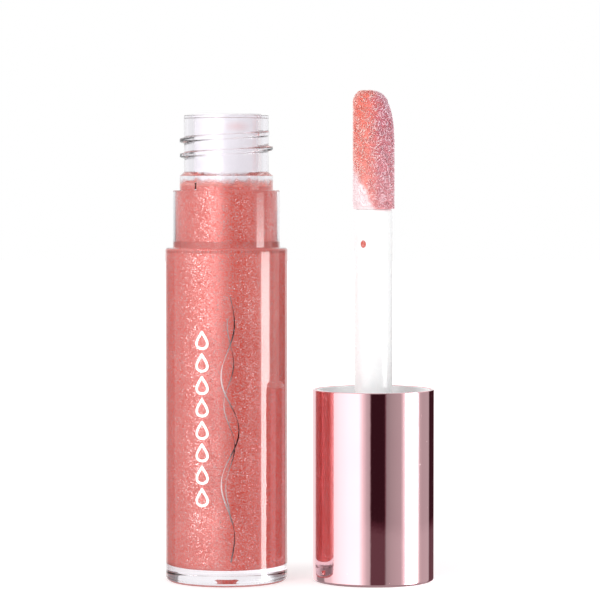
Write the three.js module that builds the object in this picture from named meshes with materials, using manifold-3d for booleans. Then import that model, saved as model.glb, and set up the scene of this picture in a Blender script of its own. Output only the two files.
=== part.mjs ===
// A lip gloss tube, open: the clear thick-walled bottle with its wiper and its fill stands upright, and the
// cap with its applicator stands upside down beside it. Millimetres, +Z up. The origin is the centre of the
// bottle's base. The bottle's pieces are drawn about its own axis. The cap's pieces are drawn about the cap's
// axis, measured from its closed end, which is the end that it stands on here.
import * as THREE from 'three';
import { mergeVertices } from 'three/addons/utils/BufferGeometryUtils.js';
import Module from 'manifold-3d';

const wasm = await Module();
wasm.setup();

// ---------------------------------------------------------------- driving dimensions

// How finely round things are divided.
const SIDES = 48;
const ARC_STEPS = 3;
const THREAD_STEP = 2 * 360 / SIDES; // degrees, two sides at a time

// Clearances.
const PRESS_GAP = 0.05; // between pieces pushed or moulded into each other, radially and at their seats
const SPIGOT_GAP = 0.15; // cap bore round the bottle's spigot
const COLLAR_GAP = 0.25; // cap bore round the bottle's collar
const THREAD_GAP = 0.2; // between the two threads, at crest and at root
const FLANK_GAP = 0.15; // between the two threads, along the axis
const AXIAL_GAP = 0.3; // steps of the cap bore above the steps of the bottle, when closed
const THREAD_RUN_IN = 1.0; // from the neck's foot up to where the cap's threaded bore begins, when closed
const SHOULDER_GAP = 0.1; // cap rim above the bottle's shoulder, when closed
const LIP_GAP = 0.05; // wiper orifice round the stem

// Room between the bottle and the cap that stands beside it.
const STANDING_GAP = 3.5;

// Bottle: one clear moulding. Its body is as wide as the cap, so that the two are flush when closed.
const BODY_HEIGHT = 46.5;
const BODY_WALL = 2.3;
const BASE_EDGE = 0.6;
const SHOULDER_EDGE = 0.35;
const SPIGOT_STEP = 0.95; // out from the collar
const SPIGOT_HEIGHT = 8.0;
const SPIGOT_EDGE = 0.25;
const COLLAR_STEP = 0.6; // out from the neck
const COLLAR_HEIGHT = 2.0;
const COLLAR_CHAMFER = 0.5;
const NECK_RADIUS = 5.9;
const NECK_WALL = 1.4;
const NECK_HEIGHT = 7.9;
const NECK_EDGE = 0.15;
const BASE_THICKNESS = 2.1;
const CAVITY_CORNER = 0.8;
const CAVITY_CONE_LENGTH = 1.5;
const CAVITY_CONE_RISE = 0.9; // of the cone's narrow end above the shoulder
const WIPER_SEAT_DEPTH = 0.4;

// Thread of the neck: right-handed. Angles turn anticlockwise from +X, seen from above.
const THREAD_DEPTH = 0.6;
const THREAD_PITCH = 2.1;
const THREAD_START_ANGLE = 153.75;
const THREAD_START_RISE = 2.12; // of the thread's centre line above the neck's foot
const THREAD_ANGLE = 570;
const THREAD_CREST = 0.5;
const THREAD_ROOT = 1.0;
const THREAD_FADE_ANGLE = 35;

// Two stop lugs on the collar, half a turn apart. A matching pair in the cap runs up against them.
const LUG_HEIGHT = 1.25;
const LUG_DEPTH = 0.45;
const LUG_ANGLE = 27;
const LUG_STOP_ANGLE = 233; // of the steep face
const LUG_RAMP_LENGTH = 0.5;
const LUG_RAMP_DROP = 0.45;
const LUG_REST_ANGLE = 3; // left between the two steep faces when closed

// Wiper: one soft frosted moulding.
const FLANGE_REACH = 0.37; // out from the bore
const FLANGE_THICKNESS = 0.6;
const WIPER_WALL = 0.5;
const SLEEVE_LENGTH = 7.5;
const WIPER_CONE_LENGTH = 5.5;
const WIPER_ENTRY = 0.25;
const LIP_LENGTH = 0.6;
const LIP_THICKNESS = 0.45;

// Gloss.
const HEADSPACE = 9.5; // from the top of the neck down to the surface of the gloss

// Overcap: a plain metal-coloured shell.
const CAP_HEIGHT = 26.75;
const OVERCAP_WALL = 0.45;
const OVERCAP_END = 0.8;
const OVERCAP_END_EDGE = 0.35;
const OVERCAP_RIM_EDGE = 0.12;

// Inner cap: the threaded moulding inside it.
const INNER_WALL = 0.4; // round the spigot
const INNER_RIM_INSET = 0.6;
const INNER_FOOT_GAP = 0.2;
const SKIRT_WALL = 0.6;
const WEB_THICKNESS = 1.2;
const BOSS_WALL = 1.2;
const SOCKET_FLOOR = 1.0;

// Seal washer round the stem.
const WASHER_THICKNESS = 0.95;

// Stem and applicator tip.
const STEM_RADIUS = 2.65;
const STEM_SHOULDER = 0.5;
const STEM_BEAD = 0.2;
const STEM_BEAD_RISE = 2.0;
const TIP_FLOOR_GAP = 2.75; // from the tip down to the floor of the bottle, when closed
const FLOCKED_LENGTH = 16.6;
const FLOCK_THICKNESS = 0.5;
const CORE_STEP = 0.2; // in from the stem
const CORE_CORNER = 1.15;
const SHANK_RADIUS = 1.5;
const SHANK_LENGTH = 5.0;
const SLANT_ANGLE = 24; // between the slanted face and the stem's axis
const SLANT_TURN = -11; // which way the slanted face looks, from +X
const SLANT_BLEND = 2.1; // radius where the slanted face rolls over into the top
const SLANT_BLEND_OFFSET = -1.3; // of the centre of that radius from the axis

// ---------------------------------------------------------------- levels along the bottle

const COLLAR_FOOT = BODY_HEIGHT + SPIGOT_HEIGHT;
const CHAMFER_FOOT = COLLAR_FOOT + COLLAR_HEIGHT;
const NECK_FOOT = CHAMFER_FOOT + COLLAR_CHAMFER;
const NECK_TOP = NECK_FOOT + NECK_HEIGHT;
const WIPER_TOP = NECK_TOP - WIPER_SEAT_DEPTH + FLANGE_THICKNESS;
const SLEEVE_FOOT = NECK_TOP - WIPER_SEAT_DEPTH - SLEEVE_LENGTH;
const WIPER_FOOT = SLEEVE_FOOT - WIPER_CONE_LENGTH;
const GLOSS_LEVEL = NECK_TOP - HEADSPACE;
const LUG_TOP = COLLAR_FOOT + LUG_HEIGHT;

// ---------------------------------------------------------------- levels along the cap

// When closed, a height on the bottle and the same height on the cap add up to this.
const CLOSED_HEIGHT = BODY_HEIGHT + CAP_HEIGHT + SHOULDER_GAP;
const onCap = (heightOnBottle) => CLOSED_HEIGHT - heightOnBottle;

const INNER_FOOT = OVERCAP_END + INNER_FOOT_GAP;
const INNER_RIM = CAP_HEIGHT - INNER_RIM_INSET;
const WASHER_TOP = onCap(WIPER_TOP) - PRESS_GAP;
const WASHER_FOOT = WASHER_TOP - WASHER_THICKNESS;
const WEB_TOP = WASHER_FOOT - PRESS_GAP;
const WEB_FOOT = WEB_TOP - WEB_THICKNESS;
const STEM_FOOT = INNER_FOOT + SOCKET_FLOOR + PRESS_GAP;
const TIP_TOP = onCap(BASE_THICKNESS + TIP_FLOOR_GAP);
const FLOCK_FOOT = TIP_TOP - FLOCKED_LENGTH;
const STEM_TOP = FLOCK_FOOT - PRESS_GAP;

// ---------------------------------------------------------------- radii, from the neck outwards

const THREAD_RADIUS = NECK_RADIUS + THREAD_DEPTH;
const COLLAR_RADIUS = NECK_RADIUS + COLLAR_STEP;
const SPIGOT_RADIUS = COLLAR_RADIUS + SPIGOT_STEP;
const THREAD_BORE = NECK_RADIUS + THREAD_GAP;
const COLLAR_BORE = COLLAR_RADIUS + COLLAR_GAP;
const LUG_BORE = COLLAR_RADIUS + LUG_DEPTH + COLLAR_GAP;
const SPIGOT_BORE = SPIGOT_RADIUS + SPIGOT_GAP;
const INNER_RADIUS = SPIGOT_BORE + INNER_WALL;
const CAP_RADIUS = INNER_RADIUS + PRESS_GAP + OVERCAP_WALL;
const BODY_RADIUS = CAP_RADIUS;
const CAVITY_RADIUS = BODY_RADIUS - BODY_WALL;
const CAP_DISTANCE = BODY_RADIUS + STANDING_GAP + CAP_RADIUS;

// ---------------------------------------------------------------- radii inside the neck and the cap

const BORE_RADIUS = NECK_RADIUS - NECK_WALL;
const SLEEVE_RADIUS = BORE_RADIUS - PRESS_GAP;
const FLANGE_RADIUS = BORE_RADIUS + FLANGE_REACH;
const WIPER_SEAT_RADIUS = FLANGE_RADIUS + PRESS_GAP;
const ORIFICE_RADIUS = STEM_RADIUS + LIP_GAP;
const SOCKET_RADIUS = STEM_RADIUS + PRESS_GAP;
const BOSS_RADIUS = SOCKET_RADIUS + STEM_BEAD + BOSS_WALL;
const CORE_RADIUS = STEM_RADIUS - CORE_STEP;

// ---------------------------------------------------------------- shape helpers

const radians = THREE.MathUtils.degToRad;

function joined(geometry) {
  const bare = geometry.clone();
  bare.deleteAttribute('normal');
  bare.deleteAttribute('uv');
  const merged = mergeVertices(bare, 1e-5);
  const corners = merged.index.array;
  const kept = [];
  for (let i = 0; i < corners.length; i += 3) {
    const [a, b, c] = [corners[i], corners[i + 1], corners[i + 2]];
    if (a !== b && b !== c && c !== a) {
      kept.push(a, b, c);
    }
  }
  return new wasm.Manifold(new wasm.Mesh({
    numProp: 3,
    vertProperties: new Float32Array(merged.attributes.position.array),
    triVerts: new Uint32Array(kept),
  }));
}

// A solid turned about Z. The outline is a list of [radius, height], anticlockwise: out along the foot, up
// the outside and back along the top, closed by the axis, or closed on itself where it leaves the axis free.
function turned(outline, sides = SIDES) {
  const points = outline.map(([radius, height]) => new THREE.Vector2(radius, height));
  const onAxis = outline[0][0] === 0 && outline.at(-1)[0] === 0;
  if (!onAxis) {
    points.push(points[0].clone());
  }
  const geometry = new THREE.LatheGeometry(points, sides);
  geometry.rotateX(Math.PI / 2);
  return joined(geometry);
}

// Points along an arc in the radius-height plane, both ends included.
function arc(radius, height, size, from, to) {
  const points = [];
  for (let i = 0; i <= ARC_STEPS; i += 1) {
    const angle = radians(from + (to - from) * i / ARC_STEPS);
    points.push([radius + size * Math.cos(angle), height + size * Math.sin(angle)]);
  }
  return points;
}

// A plain cylinder about Z.
function rod(radius, foot, top) {
  return turned([[0, foot], [radius, foot], [radius, top], [0, top]]);
}

// A trapezoidal ridge that climbs round Z, right-handed, in whole steps that start midway along a side of the
// turned pieces. Both ends sink away into its foot. The height given is at the angle given.
function helix({ foot, crest, footWidth, crestWidth, startAngle, startHeight, angle, fadeAngle }) {
  const shape = new THREE.Shape([
    new THREE.Vector2(0, -footWidth / 2),
    new THREE.Vector2(1, -crestWidth / 2),
    new THREE.Vector2(1, crestWidth / 2),
    new THREE.Vector2(0, footWidth / 2),
  ]);
  const side = 360 / SIDES;
  const first = (Math.floor(startAngle / side) + 0.5) * side;
  const steps = Math.round(angle / THREAD_STEP);
  const geometry = new THREE.ExtrudeGeometry(shape, { depth: 1, steps, bevelEnabled: false });
  const position = geometry.attributes.position;
  for (let i = 0; i < position.count; i += 1) {
    const along = position.getZ(i) * steps * THREAD_STEP;
    const fromEnd = Math.min(along, steps * THREAD_STEP - along);
    const swell = Math.min(1, fromEnd / fadeAngle);
    const radius = foot + (crest - foot) * (0.05 + 0.95 * swell) * position.getX(i);
    const at = first + along;
    const height = startHeight + THREAD_PITCH * (at - startAngle) / 360 - position.getY(i);
    position.setXYZ(i, radius * Math.cos(radians(at)), radius * Math.sin(radians(at)), height);
  }
  return joined(geometry);
}

// A block that follows the wall of a cylinder about Z.
function sector(inner, outer, foot, height, fromAngle, toAngle) {
  const from = radians(fromAngle);
  const to = radians(toAngle);
  const shape = new THREE.Shape();
  shape.absarc(0, 0, outer, from, to, false);
  shape.absarc(0, 0, inner, to, from, true);
  const geometry = new THREE.ExtrudeGeometry(shape, { depth: height, bevelEnabled: false, curveSegments: 5 });
  geometry.translate(0, 0, foot);
  return joined(geometry);
}

// ---------------------------------------------------------------- the bottle and what is in it

// The room inside the bottle, made smaller all round by a margin, up to above the neck.
function cavity(margin) {
  const radius = CAVITY_RADIUS - margin;
  const floor = BASE_THICKNESS + margin;
  const bore = BORE_RADIUS - margin;
  const coneTop = BODY_HEIGHT + CAVITY_CONE_RISE;
  return turned([
    [0, floor],
    ...arc(radius - CAVITY_CORNER, floor + CAVITY_CORNER, CAVITY_CORNER, -90, 0),
    [radius, coneTop - CAVITY_CONE_LENGTH],
    [bore, coneTop],
    [bore, NECK_TOP + 1],
    [0, NECK_TOP + 1],
  ]);
}

// One stop lug for each half turn. Seen from outside, its right end is steep and its left end is a ramp.
function collarLugs() {
  const chord = 2 * COLLAR_RADIUS * Math.sin(radians(LUG_ANGLE / 2));
  const side = new THREE.Shape([
    new THREE.Vector2(-chord / 2, 0),
    new THREE.Vector2(chord / 2, 0),
    new THREE.Vector2(chord / 2, LUG_HEIGHT),
    new THREE.Vector2(LUG_RAMP_LENGTH - chord / 2, LUG_HEIGHT),
    new THREE.Vector2(-chord / 2, LUG_HEIGHT - LUG_RAMP_DROP),
  ]);
  const pair = [0, 180].map((turn) => {
    const block = new THREE.ExtrudeGeometry(side, { depth: LUG_DEPTH + 1.5, bevelEnabled: false });
    block.rotateX(Math.PI / 2);
    block.rotateZ(Math.PI / 2);
    block.translate(COLLAR_RADIUS - 1, 0, COLLAR_FOOT);
    block.rotateZ(radians(LUG_STOP_ANGLE - LUG_ANGLE / 2 + turn));
    return joined(block);
  });
  return pair[0].add(pair[1]).intersect(rod(COLLAR_RADIUS + LUG_DEPTH, COLLAR_FOOT - 1, LUG_TOP + 1));
}

function bottle() {
  const outside = turned([
    [0, 0],
    ...arc(BODY_RADIUS - BASE_EDGE, BASE_EDGE, BASE_EDGE, -90, 0),
    ...arc(BODY_RADIUS - SHOULDER_EDGE, BODY_HEIGHT - SHOULDER_EDGE, SHOULDER_EDGE, 0, 90),
    [SPIGOT_RADIUS, BODY_HEIGHT],
    [SPIGOT_RADIUS, COLLAR_FOOT - SPIGOT_EDGE],
    [SPIGOT_RADIUS - SPIGOT_EDGE, COLLAR_FOOT],
    [COLLAR_RADIUS, COLLAR_FOOT],
    [COLLAR_RADIUS, CHAMFER_FOOT],
    [NECK_RADIUS, NECK_FOOT],
    [NECK_RADIUS, NECK_TOP - NECK_EDGE],
    [NECK_RADIUS - NECK_EDGE, NECK_TOP],
    [0, NECK_TOP],
  ]);
  const thread = helix({
    foot: NECK_RADIUS - 0.3,
    crest: THREAD_RADIUS,
    footWidth: THREAD_ROOT,
    crestWidth: THREAD_CREST,
    startAngle: THREAD_START_ANGLE,
    startHeight: NECK_FOOT + THREAD_START_RISE,
    angle: THREAD_ANGLE,
    fadeAngle: THREAD_FADE_ANGLE,
  });
  const wiperSeat = rod(WIPER_SEAT_RADIUS, NECK_TOP - WIPER_SEAT_DEPTH, NECK_TOP + 1);
  return outside.add(thread).add(collarLugs()).subtract(cavity(0)).subtract(wiperSeat);
}

function wiper() {
  const bore = SLEEVE_RADIUS - WIPER_WALL;
  const tipRadius = ORIFICE_RADIUS + LIP_THICKNESS;
  const seat = WIPER_TOP - FLANGE_THICKNESS + PRESS_GAP;
  return turned([
    [ORIFICE_RADIUS, WIPER_FOOT],
    [tipRadius, WIPER_FOOT],
    [SLEEVE_RADIUS, SLEEVE_FOOT],
    [SLEEVE_RADIUS, seat],
    [FLANGE_RADIUS, seat],
    [FLANGE_RADIUS, WIPER_TOP],
    [bore + WIPER_ENTRY, WIPER_TOP],
    [bore, WIPER_TOP - WIPER_ENTRY],
    [bore, SLEEVE_FOOT],
    [ORIFICE_RADIUS, WIPER_FOOT + LIP_LENGTH],
  ]);
}

// The gloss fills the bottle up to its level, round the wiper's cone but not inside it.
function gloss() {
  const margin = PRESS_GAP;
  const tipRadius = ORIFICE_RADIUS + LIP_THICKNESS + margin;
  const wiperRoom = turned([
    [0, WIPER_FOOT - margin],
    [tipRadius, WIPER_FOOT - margin],
    [SLEEVE_RADIUS + margin, SLEEVE_FOOT],
    [SLEEVE_RADIUS + margin, NECK_TOP + 2],
    [0, NECK_TOP + 2],
  ]);
  const belowLevel = rod(BODY_RADIUS, 0, GLOSS_LEVEL);
  return cavity(margin).intersect(belowLevel).subtract(wiperRoom);
}

// ---------------------------------------------------------------- the cap and the applicator

function overcap() {
  const inside = CAP_RADIUS - OVERCAP_WALL;
  return turned([
    [0, 0],
    ...arc(CAP_RADIUS - OVERCAP_END_EDGE, OVERCAP_END_EDGE, OVERCAP_END_EDGE, -90, 0),
    [CAP_RADIUS, CAP_HEIGHT - OVERCAP_RIM_EDGE],
    [CAP_RADIUS - OVERCAP_RIM_EDGE, CAP_HEIGHT],
    [inside + OVERCAP_RIM_EDGE, CAP_HEIGHT],
    [inside, CAP_HEIGHT - OVERCAP_RIM_EDGE],
    [inside, OVERCAP_END],
    [0, OVERCAP_END],
  ]);
}

// The lugs that run up against the bottle's: the same steep faces, seen from the other end.
function capLugs() {
  const stop = 180 - (LUG_STOP_ANGLE + LUG_REST_ANGLE);
  const foot = onCap(LUG_TOP) - AXIAL_GAP;
  const height = LUG_HEIGHT;
  const outer = LUG_BORE + (SPIGOT_BORE - LUG_BORE) / 2;
  const lug = (turn) => sector(COLLAR_BORE, outer, foot, height, stop + turn - LUG_ANGLE, stop + turn);
  return lug(0).add(lug(180));
}

function innerCap() {
  const shell = turned([
    [0, INNER_FOOT],
    [BOSS_RADIUS, INNER_FOOT],
    [BOSS_RADIUS, WEB_FOOT],
    [INNER_RADIUS - SKIRT_WALL, WEB_FOOT],
    [INNER_RADIUS - SKIRT_WALL, INNER_FOOT],
    [INNER_RADIUS, INNER_FOOT],
    [INNER_RADIUS, INNER_RIM],
    [SPIGOT_BORE, INNER_RIM],
    [SPIGOT_BORE, onCap(COLLAR_FOOT) - AXIAL_GAP],
    [LUG_BORE, onCap(COLLAR_FOOT) - AXIAL_GAP],
    [LUG_BORE, onCap(LUG_TOP) - AXIAL_GAP],
    [COLLAR_BORE, onCap(LUG_TOP) - AXIAL_GAP],
    [COLLAR_BORE, onCap(NECK_FOOT + THREAD_RUN_IN)],
    [THREAD_BORE, onCap(NECK_FOOT + THREAD_RUN_IN)],
    [THREAD_BORE, WEB_TOP],
    [0, WEB_TOP],
  ]);
  const socket = rod(SOCKET_RADIUS, INNER_FOOT + SOCKET_FLOOR, WEB_TOP + 1);
  const beadHeight = STEM_FOOT + STEM_BEAD_RISE;
  const beadRoom = bead(SOCKET_RADIUS, STEM_BEAD, beadHeight);
  // The upper end of the neck's thread lies here on the cap when closed. From there the groove runs on until
  // its whole width has left the threaded bore.
  const startAngle = 180 - (THREAD_START_ANGLE + THREAD_ANGLE);
  const startHeight = onCap(NECK_FOOT + THREAD_START_RISE + THREAD_PITCH * THREAD_ANGLE / 360);
  const footWidth = THREAD_ROOT + 2 * FLANK_GAP;
  const endHeight = onCap(NECK_FOOT + THREAD_RUN_IN) + footWidth / 2;
  const leadAngle = 360 * (endHeight - startHeight) / THREAD_PITCH;
  const groove = helix({
    foot: THREAD_BORE - 0.4,
    crest: THREAD_RADIUS + THREAD_GAP,
    footWidth,
    crestWidth: THREAD_CREST + 2 * FLANK_GAP,
    startAngle: startAngle - THREAD_STEP,
    startHeight: startHeight - THREAD_PITCH * THREAD_STEP / 360,
    angle: leadAngle + THREAD_FADE_ANGLE + 2 * THREAD_STEP,
    fadeAngle: THREAD_FADE_ANGLE,
  });
  return shell.subtract(socket).subtract(beadRoom).subtract(groove).add(capLugs());
}

// A raised ring round a rod, with sloping sides, reaching down into the rod.
function bead(radius, rise, height) {
  const inner = radius - 2 * rise;
  return turned([
    [inner, height - 2 * rise],
    [radius, height - 2 * rise],
    [radius + rise, height - rise / 2],
    [radius + rise, height + rise / 2],
    [radius, height + 2 * rise],
    [inner, height + 2 * rise],
  ]);
}

function sealWasher() {
  const outer = THREAD_BORE - 3 * PRESS_GAP;
  return turned([
    [SOCKET_RADIUS, WASHER_FOOT],
    [outer, WASHER_FOOT],
    [outer, WASHER_TOP],
    [SOCKET_RADIUS, WASHER_TOP],
  ]);
}

function stem() {
  const shaft = turned([
    [0, STEM_FOOT],
    [STEM_RADIUS, STEM_FOOT],
    ...arc(STEM_RADIUS - STEM_SHOULDER, STEM_TOP - STEM_SHOULDER, STEM_SHOULDER, 0, 90),
    [0, STEM_TOP],
  ]);
  const shankRoom = rod(SHANK_RADIUS + PRESS_GAP, STEM_TOP - SHANK_LENGTH - PRESS_GAP, STEM_TOP + 1);
  const ring = bead(STEM_RADIUS, STEM_BEAD - PRESS_GAP, STEM_FOOT + STEM_BEAD_RISE);
  return shaft.add(ring).subtract(shankRoom);
}

// The applicator's end, grown all round by a margin: a rod with a rounded top and one long slanted face.
function slantedTip(margin, foot) {
  const radius = CORE_RADIUS + margin;
  const top = TIP_TOP - FLOCK_THICKNESS + margin;
  const corner = CORE_CORNER + margin;
  const blend = SLANT_BLEND + margin;
  const round = turned([
    [0, foot],
    [radius, foot],
    ...arc(radius - corner, top - corner, corner, 0, 90),
    [0, top],
  ]);
  const facing = radians(SLANT_ANGLE);
  const reach = radius + 1;
  const faceTop = new THREE.Vector2(
    SLANT_BLEND_OFFSET + blend * Math.cos(facing),
    top - blend + blend * Math.sin(facing),
  );
  const faceFoot = faceTop.y - (reach - faceTop.x) / Math.tan(facing);
  const side = new THREE.Shape();
  side.moveTo(-reach, foot - 1);
  side.lineTo(reach, foot - 1);
  side.lineTo(reach, faceFoot);
  side.lineTo(faceTop.x, faceTop.y);
  side.absarc(SLANT_BLEND_OFFSET, top - blend, blend, facing, Math.PI / 2, false);
  side.lineTo(-reach, top);
  const slab = new THREE.ExtrudeGeometry(side, { depth: 2 * reach, bevelEnabled: false, curveSegments: 6 });
  slab.rotateX(Math.PI / 2);
  slab.translate(0, reach, 0);
  slab.rotateZ(radians(SLANT_TURN));
  return round.intersect(joined(slab));
}

function tipCore() {
  const shank = rod(SHANK_RADIUS, STEM_TOP - SHANK_LENGTH, FLOCK_FOOT + 1);
  return slantedTip(0, FLOCK_FOOT).add(shank);
}

function flocking() {
  const outside = slantedTip(FLOCK_THICKNESS, FLOCK_FOOT);
  const coreRoom = slantedTip(PRESS_GAP, FLOCK_FOOT - 1);
  return outside.subtract(coreRoom);
}

// ---------------------------------------------------------------- the assembly

function piece(name, solid, look) {
  const shape = solid.getMesh();
  const geometry = new THREE.BufferGeometry();
  geometry.setAttribute('position', new THREE.BufferAttribute(new Float32Array(shape.vertProperties), 3));
  geometry.setIndex(new THREE.BufferAttribute(new Uint32Array(shape.triVerts), 1));
  geometry.computeVertexNormals();
  const mesh = new THREE.Mesh(geometry, new THREE.MeshStandardMaterial(look));
  mesh.name = name;
  return mesh;
}

const CLEAR = { color: 0xf4f0f2, roughness: 0.05, metalness: 0, transparent: true, opacity: 0.3 };
const FROSTED = { color: 0xf2eef0, roughness: 0.45, metalness: 0, transparent: true, opacity: 0.7 };
const CORAL = { color: 0xe2796c, roughness: 0.2, metalness: 0.1 };
const ROSE_METAL = { color: 0xd9a9ad, roughness: 0.12, metalness: 1 };
const WHITE = { color: 0xf5f3f2, roughness: 0.25, metalness: 0 };
const LINER = { color: 0xe6e4e2, roughness: 0.7, metalness: 0 };
const FLOCK = { color: 0xe79a95, roughness: 0.95, metalness: 0 };

const bottleGroup = new THREE.Group();
bottleGroup.add(
  piece('bottle', bottle(), CLEAR),
  piece('wiper', wiper(), FROSTED),
  piece('gloss', gloss(), CORAL),
);

const capGroup = new THREE.Group();
capGroup.position.set(CAP_DISTANCE, 0, 0);
capGroup.add(
  piece('overcap', overcap(), ROSE_METAL),
  piece('inner_cap', innerCap(), WHITE),
  piece('seal_washer', sealWasher(), LINER),
  piece('stem', stem(), WHITE),
  piece('tip_core', tipCore(), WHITE),
  piece('flocking', flocking(), FLOCK),
);

const tube = new THREE.Group();
tube.add(bottleGroup, capGroup);

export default tube;
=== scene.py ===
# A lip gloss tube, open: a clear thick-walled bottle of pearly gloss, and beside it the metal-coloured cap
# that stands upside down with its white stem and flocked tip. Metres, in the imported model's frame.
import math
import random

import bmesh
import bpy
import numpy as np
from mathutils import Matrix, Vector

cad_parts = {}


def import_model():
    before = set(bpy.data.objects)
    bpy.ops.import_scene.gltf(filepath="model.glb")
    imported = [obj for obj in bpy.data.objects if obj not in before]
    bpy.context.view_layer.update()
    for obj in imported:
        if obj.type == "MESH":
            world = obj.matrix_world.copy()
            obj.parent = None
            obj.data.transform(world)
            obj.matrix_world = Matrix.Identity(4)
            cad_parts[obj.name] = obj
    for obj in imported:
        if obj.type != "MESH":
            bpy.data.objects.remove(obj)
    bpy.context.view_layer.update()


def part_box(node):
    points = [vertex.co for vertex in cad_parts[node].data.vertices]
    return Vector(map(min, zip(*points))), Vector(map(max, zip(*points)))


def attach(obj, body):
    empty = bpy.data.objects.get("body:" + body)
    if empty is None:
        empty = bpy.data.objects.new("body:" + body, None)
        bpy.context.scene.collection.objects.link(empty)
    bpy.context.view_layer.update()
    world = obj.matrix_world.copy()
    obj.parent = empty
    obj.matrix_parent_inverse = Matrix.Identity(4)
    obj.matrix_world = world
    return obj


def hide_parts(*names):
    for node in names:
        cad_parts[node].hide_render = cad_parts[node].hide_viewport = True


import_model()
scene = bpy.context.scene
chance = random.Random(7)
MM = 0.001

# ---------------- places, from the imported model


def axis_of(name):
    low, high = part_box(name)
    return (low.x + high.x) / 2


def foot_of(name):
    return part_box(name)[0].z


def top_of(name):
    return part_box(name)[1].z


def radius_of(name):
    low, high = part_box(name)
    return (high.y - low.y) / 2


BOTTLE_X = axis_of("bottle")
CAP_X = axis_of("overcap")
BODY_RADIUS = radius_of("bottle")
NECK_TOP = top_of("bottle")
CAP_RADIUS = radius_of("overcap")
CAP_TOP = top_of("overcap")
STEM_RADIUS = 2.65 * MM
STEM_TOP = top_of("stem")
FLOCK_FOOT = foot_of("flocking")
TIP_TOP = top_of("flocking")

# Bottle, outside.
NECK_RADIUS = 5.9 * MM
NECK_FOOT = NECK_TOP - 7.9 * MM
COLLAR_RADIUS = 6.5 * MM
COLLAR_TOP = NECK_FOOT - 0.5 * MM
COLLAR_FOOT = COLLAR_TOP - 2.0 * MM
SPIGOT_RADIUS = 7.45 * MM
SHOULDER = COLLAR_FOOT - 8.0 * MM
FOOT_RING_RADIUS = 7.35 * MM
FOOT_RECESS = 0.3 * MM
GATE_RADIUS = 1.2 * MM
GATE_DEPTH = 0.16 * MM

# Bottle, inside.
SEAT_RADIUS = 4.92 * MM
SEAT_DEPTH = 0.4 * MM
BORE_RADIUS = 4.5 * MM
CAVITY_RADIUS = 6.2 * MM
CAVITY_FLOOR = 2.1 * MM
CAVITY_CORNER = 0.8 * MM
CONE_TOP = SHOULDER + 0.9 * MM
CONE_FOOT = CONE_TOP - 1.5 * MM

# Thread of the neck, and its groove in the cap.
THREAD_PITCH = 2.1 * MM
THREAD_START = 153.75  # degrees
THREAD_TURN = 570.0  # degrees
THREAD_RISE = 2.12 * MM
THREAD_DEPTH = 0.6 * MM
THREAD_CREST = 0.44 * MM
THREAD_ROOT = 0.84 * MM
THREAD_FADE = 35.0  # degrees
GROOVE_TURN = 900.0  # degrees
GROOVE_ROOM = 0.3 * MM
# Painted shade along the thread's two roots, in dark pink lines that stand in for the thread's shadows: its
# height from the thread's middle, and how much there is.
THREAD_SHADE_LINES = ((0.33 * MM, 1.0), (-0.33 * MM, 0.45))
THREAD_SHADE_CREST, THREAD_SHADE_ROOT = 0.04 * MM, 0.30 * MM
THREAD_SHADE_FADE = 20.0  # degrees

# Stop lugs.
LUG_HEIGHT = 1.25 * MM
LUG_DEPTH = 0.45 * MM
LUG_ANGLE = 27.0  # degrees
LUG_STOP = 233.0  # degrees
LUG_RAMP = 0.29
LUG_RAMP_DROP = 0.45 * MM

# Wiper.
CONE_LENGTH = 5.5 * MM
CONE_ROOT_RADIUS = 4.45 * MM
CONE_TIP_RADIUS = 3.15 * MM
ORIFICE_RADIUS = 2.70 * MM
LIP_LENGTH = 0.6 * MM
SLEEVE_BORE = 3.95 * MM
MOUTH_RADIUS = 4.20 * MM
MOUTH_DEPTH = 0.25 * MM
FLANGE_RADIUS = 4.87 * MM
FLANGE_DEPTH = 0.55 * MM

# Cap. A point of the upturned cap comes to this height less its own, once the cap is screwed on.
CLOSED_HEIGHT = SHOULDER + CAP_TOP + 0.1 * MM
SHELL_WALL = 0.45 * MM
SHELL_FLOOR = 0.8 * MM
RIM_LIP = 0.06 * MM  # how far the metal shell stands above the white rim inside it
INNER_RADIUS = 8.0 * MM
INNER_WALL = 0.6 * MM
INNER_FLOOR = 1.0 * MM
WEB_THICKNESS = 1.2 * MM
BOSS_RADIUS = 4.1 * MM
SOCKET_RADIUS = 2.72 * MM
SPIGOT_BORE = 7.6 * MM
LUG_BORE = 7.15 * MM
COLLAR_BORE = 6.75 * MM
THREAD_BORE = 6.1 * MM
WASHER_RADIUS = 5.95 * MM
WASHER_BORE = 2.70 * MM

# The hole in the stem's end, and the core's shank in it.
STEM_HOLE_RADIUS = 1.55 * MM
STEM_HOLE_DEPTH = 5.0 * MM
SHANK_RADIUS = 1.5 * MM

# The trace of gloss on the wiper.
TRACE_PLACE = (1.7 * MM, -4.4 * MM, 63.3 * MM)
TRACE_SIZE = (1.9 * MM, 1.5 * MM, 0.9 * MM)

# The smear of gloss on the wall. The fill's edge is this far below its level, and the smear ends above it.
EDGE_DROP = 0.35 * MM
FILM_HEIGHT = 1.1 * MM
FILM_THICKNESS = 0.03 * MM
FILM_OVERLAP = 0.1 * MM

# How far the gloss reaches into the wall, so that the two are in optical contact.
WETTING = 0.02 * MM
# How far printed foil stands off the wall.
FOIL_RISE = 0.012 * MM
FOIL_THICKNESS = 0.018 * MM

# ---------------- shape helpers


def placed(name, data):
    """An object with this data, in the scene."""
    made = bpy.data.objects.new(name, data)
    scene.collection.objects.link(made)
    return made


def new_piece(name, vertices, faces, smooth=True):
    """A mesh object of these faces, all facing outwards."""
    mesh = bpy.data.meshes.new(name)
    mesh.from_pydata(vertices, [], faces)
    work = bmesh.new()
    work.from_mesh(mesh)
    bmesh.ops.recalc_face_normals(work, faces=work.faces)
    work.to_mesh(mesh)
    work.free()
    mesh.polygons.foreach_set("use_smooth", [smooth] * len(mesh.polygons))
    mesh.update()
    return placed(name, mesh)


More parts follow.
